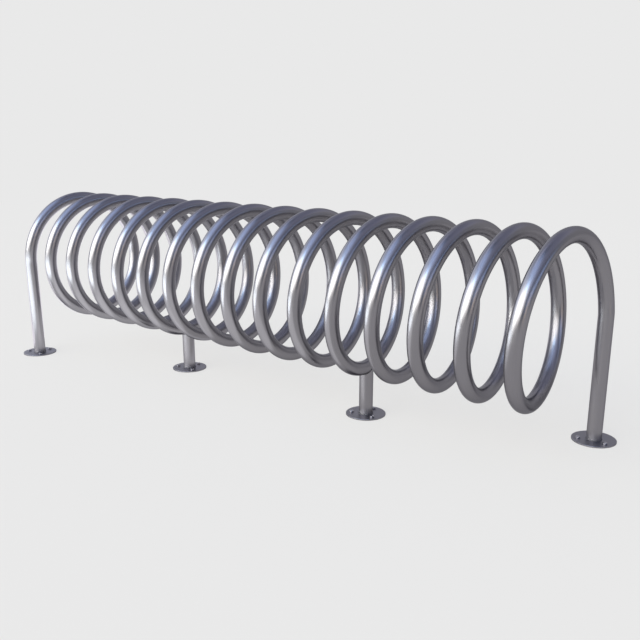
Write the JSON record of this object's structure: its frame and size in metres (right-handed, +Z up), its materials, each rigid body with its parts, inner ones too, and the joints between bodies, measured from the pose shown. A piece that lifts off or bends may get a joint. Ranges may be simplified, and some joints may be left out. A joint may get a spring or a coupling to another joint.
{
  "type": "spiral bicycle rack",
  "caption": "Spiral bicycle rack: a steel tube rolled into a long lying coil on end legs and short posts, with round bolt-down flanges; wheels park between the turns.",
  "frame": {"origin": "on the ground under the middle of the coil", "axes": "+X along the coil's axis, +Y across it, +Z up; the coil starts at the front (-Y) at its -X end"},
  "size_m": [3.0752, 0.804, 0.8778],
  "materials": {
    "tube_steel": "satin polished stainless tube",
    "flange_steel": "satin stainless plate",
    "fastener_steel": "bright stainless fasteners",
    "ring_steel": "plain rolled steel, hidden"
  },
  "bodies": {
    "root": {"coil_turn_01": "tube_steel", "coil_turn_02": "tube_steel", "coil_turn_03": "tube_steel", "coil_turn_04": "tube_steel", "coil_turn_05": "tube_steel", "coil_turn_06": "tube_steel", "coil_turn_07": "tube_steel", "coil_turn_08": "tube_steel", "coil_turn_09": "tube_steel", "coil_turn_10": "tube_steel", "coil_turn_11": "tube_steel", "coil_turn_12": "tube_steel", "coil_turn_13": "tube_steel", "coil_turn_14": "tube_steel", "coil_turn_15": "tube_steel", "coil_half_turn": "tube_steel", "left_leg": "tube_steel", "right_leg": "tube_steel", "left_post": "tube_steel", "right_post": "tube_steel", "left_leg_flange": "flange_steel", "left_post_flange": "flange_steel", "right_post_flange": "flange_steel", "right_leg_flange": "flange_steel", "flange_washers": "fastener_steel", "flange_cap_nuts": "fastener_steel", "joint_ring_01": "ring_steel", "joint_ring_02": "ring_steel", "joint_ring_03": "ring_steel", "joint_ring_04": "ring_steel", "joint_ring_05": "ring_steel", "joint_ring_06": "ring_steel", "joint_ring_07": "ring_steel", "joint_ring_08": "ring_steel", "joint_ring_09": "ring_steel", "joint_ring_10": "ring_steel", "joint_ring_11": "ring_steel", "joint_ring_12": "ring_steel", "joint_ring_13": "ring_steel", "joint_ring_14": "ring_steel", "joint_ring_15": "ring_steel", "joint_ring_16": "ring_steel", "joint_ring_17": "ring_steel"}
  },
  "joints": []
}
